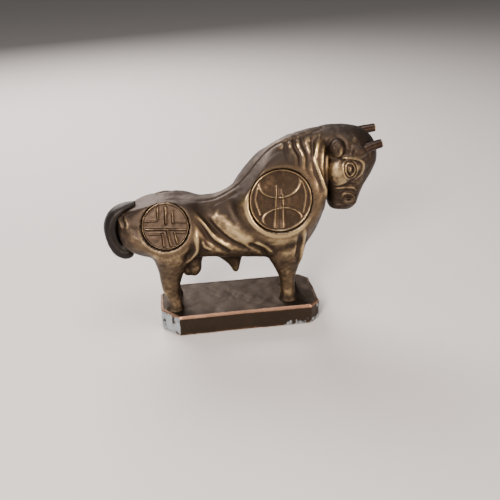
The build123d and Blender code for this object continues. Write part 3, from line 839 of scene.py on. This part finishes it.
def cross_relief(u, v):
    """Heights in millimetres: one bar across, one upright, and a square corner in each quarter."""
    height = bead_line(u, v, [(-0.82, -0.11), (0.88, -0.13)], 0.04, 0.28)
    height += bead_line(u, v, [(0.03, 0.80), (0.03, 0.13)], 0.05, 0.3)
    height += bead_line(u, v, [(0.08, -0.2), (0.16, -0.55), (0.24, -0.88)], 0.05, 0.26)
    for line in ([(-0.31, 0.82), (-0.30, 0.34)], [(0.31, 0.64), (0.33, 0.16)],
                 [(-0.13, -0.32), (-0.07, -0.88)], [(0.38, -0.26), (0.52, -0.82)]):
        height += bead_line(u, v, line, 0.042, 0.28)
    for line in ([(-0.86, 0.22), (-0.36, 0.24)], [(0.38, 0.19), (0.88, 0.17)],
                 [(-0.68, -0.32), (-0.16, -0.32)], [(0.42, -0.26), (0.82, -0.27)]):
        height += bead_line(u, v, line, 0.035, 0.15)
    return height


def medallion(name, seat, relief_of):
    """A disc on a polar grid: rings from its centre to its rim, down its side and under it."""
    centre, along, rise, out, radius = seat
    share = np.linspace(0.008, 1.0, DISC_RINGS)
    angle = np.linspace(0, 2 * pi, DISC_AROUND, endpoint=False)
    r, a = np.meshgrid(share, angle, indexing="ij")
    u, v = (r * np.cos(a)).ravel(), (r * np.sin(a)).ravel()
    from_centre = np.sqrt(u * u + v * v)
    height = relief_of(u, v) * (1 - step_up(from_centre, 0.86, 0.93))
    height += RIM_HEIGHT_MM * np.exp(-((from_centre - 0.965) / 0.028) ** 2)
    height += 0.035 * lump_noise(np.stack([u * radius, v * radius, 0 * u], -1), 0.9, 4.0)
    height = height.reshape(r.shape)
    reach = r * (radius - DISC_CLEARANCE_MM)
    top = (centre + (reach * np.cos(a))[..., None] * along + (reach * np.sin(a))[..., None] * rise
           + (height - SEAT_DEPTH_MM + DISC_FIELD_MM)[..., None] * out)
    side_foot = top[-1] - out * (height[-1][:, None] + DISC_SIDE_MM)
    middle = centre - out * DISC_UNDER_MM + (side_foot - side_foot.mean(0)) * 0.02
    rings = np.concatenate([top, side_foot[None], middle[None]])
    wear_and_light = np.concatenate([np.tanh(proud(height) * 6), np.full((2, DISC_AROUND), -0.6)])
    if np.cross(along, rise) @ out > 0:
        rings, wear_and_light = rings[::-1], wear_and_light[::-1]
    points, faces = closed_tube(rings)
    wear_and_light = np.concatenate([wear_and_light.ravel(), [0.0, 0.0]])
    # The hip discs are given more tone than the shoulder pair, so they are darker: painted shade.
    tone_and_shade = np.full(len(points), 0.0 if radius == SHOULDER_RADIUS_MM else 0.4)
    return mesh_piece(name, points, faces, {"wear_and_light": wear_and_light, "tone_and_shade": tone_and_shade})


def proud(height):
    """How far each grid point stands above the mean of its surroundings on the disc."""
    mean = height.copy()
    for _ in range(40):
        mean[1:-1] = 0.25 * (mean[:-2] + mean[2:] + np.roll(mean[1:-1], 1, 1)
                             + np.roll(mean[1:-1], -1, 1))
    return height - mean


# The same brass plate, toned more evenly, so that only the rim and the raised lines are bright.
medal_brass = metal_material("medallion_brass", "#382e27", "#564739", "#9b8463",
                             0.5, 1.9, 0.46, 0.27, 1.0)
RELIEF_OF = {"shoulder": axe_relief, "hip": cross_relief}
for name, seat in seats.items():
    kind, flank = name.split("_")
    disc = medallion(f"{kind}_disc_{flank}", seat, RELIEF_OF[kind])
    disc.data.materials.append(medal_brass)
    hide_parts(f"{kind}_medallion_{flank}")
    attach(disc, "root")

# ---------------------------------------------------------------- Plinth
# A solid cast block with chamfered corners. Its brown toning has worn through to copper on the
# top and bottom edges and to bare zinc on the corners and low down towards the head end.
plinth_high = np.array(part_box("plinth")[1]) / MM
REAR_CHAMFER_MM = 4.2
FRONT_CHAMFER_MM = 2.4
PLINTH_SOFTNESS_MM = 0.7
PLINTH_SIDE_POINTS = 44
CASTING_SHRINK_MM = 0.16
CHIP_MM = 1.3


def chamfered_outline(inset):
    """The plinth's plan, pulled in by inset: eight straight sides walked anticlockwise."""
    x, y = plinth_high[0] - inset, plinth_high[1] - inset
    front = max(FRONT_CHAMFER_MM - inset * (2 - 2**0.5), 0.1)
    rear = max(REAR_CHAMFER_MM - inset * (2 - 2**0.5), 0.1)
    corners = np.array([(x, -y + front), (x, y - front), (x - front, y), (-x + rear, y),
                        (-x, y - rear), (-x, -y + rear), (-x + rear, -y), (x - front, -y)])
    t = np.linspace(0, 1, PLINTH_SIDE_POINTS, endpoint=False)[:, None]
    return np.vstack([a + (b - a) * t for a, b in zip(corners, np.roll(corners, -1, 0))])


# The profile from the underside round to the top, as insets and heights, then the top's rings.
top, soft = plinth_high[2], PLINTH_SOFTNESS_MM
quarter = np.linspace(0, pi / 2, 7)
profile_steps = ([(6.0 * s, 0.0) for s in (1.3, 1.1, 0.9, 0.6, 0.35, 0.2)]
                 + [(soft * (1 - sin(t)), soft * (1 - cos(t)) * 0.6) for t in quarter[1:]]
                 + [(0.0, z) for z in np.linspace(soft, top - soft, 22)]
                 + [(soft * (1 - cos(t)), top - soft * (1 - sin(t))) for t in quarter]
                 + [(soft * (1 + s), top) for s in (0.1, 0.3, 0.6, 1.0)])
rings = [np.column_stack([chamfered_outline(inset), np.full(8 * PLINTH_SIDE_POINTS, z)])
         for inset, z in profile_steps]
rings += [rings[-1] * (1 - s, 1 - s, 1) for s in np.linspace(0.03, 0.99, 40)]
rings = np.array(rings)
points, faces = closed_tube(rings)
# The faces are sunk a little and made uneven, as a worn casting's are.
on_side = (points[:, 2] > 0.02) & (points[:, 2] < top - 0.02)
outer = np.hypot(points[:, 0], points[:, 1])[:, None].clip(1.0)
wobble = lump_noise(points, 2.6, 31.0) * 0.14 + lump_noise(points, 0.9, 33.0) * 0.06
lift = np.column_stack([points[:, :2] / outer, np.where(points[:, 2] > top - 0.02, 1.0, 0.0)])
lift[points[:, 2] < 0.05] = 0
points = points - lift * (CASTING_SHRINK_MM + wobble)[:, None].clip(0, 1)
# Copper shows along the top and bottom edges, and zinc on the corner chamfers and low on the
# sides towards the head end.
cut = np.where(points[:, 0] > 0, FRONT_CHAMFER_MM, REAR_CHAMFER_MM)
to_end, to_flank = (plinth_high[:2] - np.abs(points[:, :2])).T
from_edge = np.minimum(np.minimum(to_end, to_flank), (to_end + to_flank - cut) / 2**0.5)
edge_wear = np.exp(-((points[:, 2] - top + 0.25) / 0.45) ** 2 - (from_edge / 0.5) ** 2)
bottom_wear = np.exp(-(points[:, 2] / 0.6) ** 2)
plinth_rub = np.maximum(1.8 * edge_wear, 0.9 * bottom_wear) + 0.9 * wobble
plinth_rub += np.where(on_side, 0.0, 0.6)
on_chamfer = step_up(cut - to_end - to_flank, -0.75, -0.2)
bare = on_chamfer * np.where(points[:, 2] < top - 0.3, 1.0, 0.2)
rear_near = step_up(-points[:, 0] - 0.3 * points[:, 1], 12.0, 16.0)
worn_foot = step_up(points[:, 0], 2.0, 12.0) * step_up(-points[:, 2], -3.6, -1.2) * on_side
plinth = mesh_piece("plinth_block", points, faces,
                    {"wear_and_light": plinth_rub - 0.5, "tone_and_shade": np.where(on_side, -1.0, 0.0),
                     "bare": np.maximum(bare * (0.44 + 0.16 * rear_near), 0.53 * worn_foot)})

# Brown toning, nearly matt, over copper flash and grey zinc that show where it has chipped.
plinth_bronze = metal_material("brown_toned_plinth", "#2f2823", "#3d342c", "#94705c",
                               0.3, 2.3, 0.6, 0.42, 0.8, blotching=0.7, grain_mm=0.5, bump=0.4)
tree = plinth_bronze.node_tree
shader = tree.nodes["Principled BSDF"]
bare_metal = add_node(tree, "ShaderNodeAttribute", attribute_name="bare").outputs["Fac"]
place = add_node(tree, "ShaderNodeTexCoord").outputs["Object"]
streaks = add_node(tree, "ShaderNodeMapping", {"Vector": place}, Scale=(1.0, 1.0, 0.4))
chips = add_node(tree, "ShaderNodeTexNoise", {"Vector": streaks.outputs[0]},
                 Scale=1 / (CHIP_MM * MM), Detail=5.0, Roughness=0.72).outputs["Fac"]
chipped = add_node(tree, "ShaderNodeMath", {0: chips, 1: bare_metal}, operation="ADD")
share = add_node(tree, "ShaderNodeMapRange", {"Value": chipped.outputs[0]},
                 interpolation_type="SMOOTHSTEP")
share.inputs["From Min"].default_value = 0.99
share.inputs["From Max"].default_value = 1.10
under = shader.inputs["Base Color"].links[0].from_socket
zinc = add_node(tree, "ShaderNodeMix", data_type="RGBA")
tree.links.new(share.outputs[0], zinc.inputs["Factor"])
tree.links.new(under, zinc.inputs["A"])
zinc.inputs["B"].default_value = linear("#aeb5bb")
tree.links.new(zinc.outputs["Result"], shader.inputs["Base Color"])
plinth.data.materials.append(plinth_bronze)
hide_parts("plinth")
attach(plinth, "root")

# ---------------------------------------------------------------- Pins and dowel
# Drawn steel pins in the hooves and a dowel in the neck, all hidden once the bull is together.
# Bare grey steel with a soft sheen. Its drawing marks are drawn coarser than they are, to show.
DRAW_MARK_MM = 0.2
drawn_steel = bpy.data.materials.new("drawn_steel")
drawn_steel.use_nodes = True
tree = drawn_steel.node_tree
shader = tree.nodes["Principled BSDF"]
shader.inputs["Metallic"].default_value = 1.0
place = add_node(tree, "ShaderNodeTexCoord").outputs["Object"]
draw_marks = add_node(tree, "ShaderNodeTexNoise", {"Vector": place},
                      Scale=1 / (DRAW_MARK_MM * MM), Detail=2.0)
tint = add_node(tree, "ShaderNodeValToRGB", {"Fac": draw_marks.outputs["Fac"]})
tint.color_ramp.elements[0].color = linear("#8d9094")
tint.color_ramp.elements[1].color = linear("#b9bcc0")
tree.links.new(tint.outputs["Color"], shader.inputs["Base Color"])
sheen = add_node(tree, "ShaderNodeMapRange", {"Value": draw_marks.outputs["Fac"]})
sheen.inputs["To Min"].default_value = 0.3
sheen.inputs["To Max"].default_value = 0.45
tree.links.new(sheen.outputs[0], shader.inputs["Roughness"])
for name in ("foot_pins", "neck_dowel"):
    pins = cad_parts[name]
    pins.data.materials.clear()
    pins.data.materials.append(drawn_steel)
